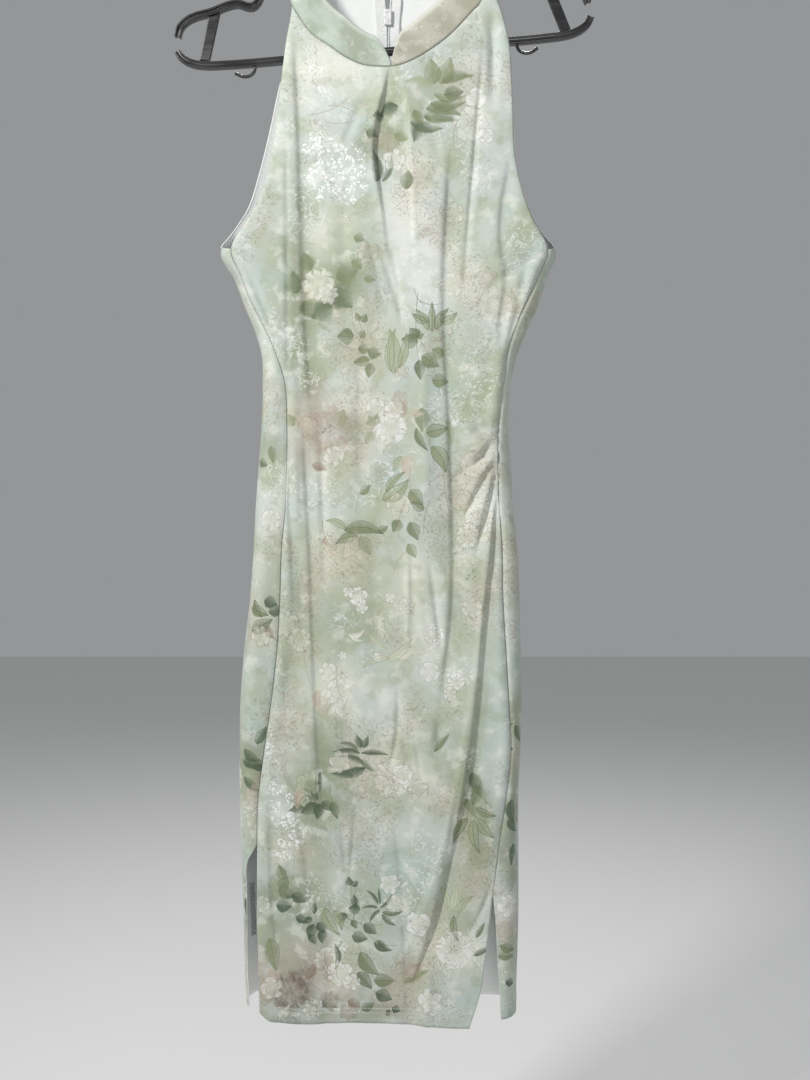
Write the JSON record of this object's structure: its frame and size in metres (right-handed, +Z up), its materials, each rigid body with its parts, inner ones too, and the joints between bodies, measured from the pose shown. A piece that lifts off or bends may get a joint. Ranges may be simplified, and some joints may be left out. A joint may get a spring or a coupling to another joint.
{
  "type": "halter-neck cheongsam on a trouser-bar hanger",
  "caption": "Sleeveless halter cheongsam with stand collar, front box pleat, side slits and back zip, hanging flat on a moulded trouser-bar hanger.",
  "frame": {"origin": "inner top of the hanger's hook, where a rail or peg carries it", "axes": "+Z up, -Y is the garment's front, +X is the viewer's right facing the front"},
  "size_m": [0.4282, 0.0549, 1.1759],
  "materials": {
    "cloth_print": "matte printed stretch jersey",
    "collar_print": "matte printed stretch jersey",
    "zip_white": "white woven tape and moulded slider",
    "hanger_black": "satin black moulded plastic"
  },
  "bodies": {
    "dress": {"front": "cloth_print", "back_left": "cloth_print", "back_right": "cloth_print", "collar_left": "collar_print", "collar_right": "collar_print", "zip_tape_left": "zip_white", "zip_tape_right": "zip_white", "zip_slider": "zip_white", "hook": "hanger_black", "hub": "hanger_black", "arm_left": "hanger_black", "arm_right": "hanger_black", "strut_left": "hanger_black", "strut_right": "hanger_black", "bar": "hanger_black", "tab_left": "hanger_black", "tab_right": "hanger_black"},
    "pull": {"zip_pull": "zip_white"}
  },
  "joints": [
    {"name": "pull_swing", "type": "hinge", "parent": "dress", "child": "pull", "pos_m": [0.017, 0.028, -0.1307], "axis": [1, 0, 0], "range_deg": [0, 160]}
  ]
}
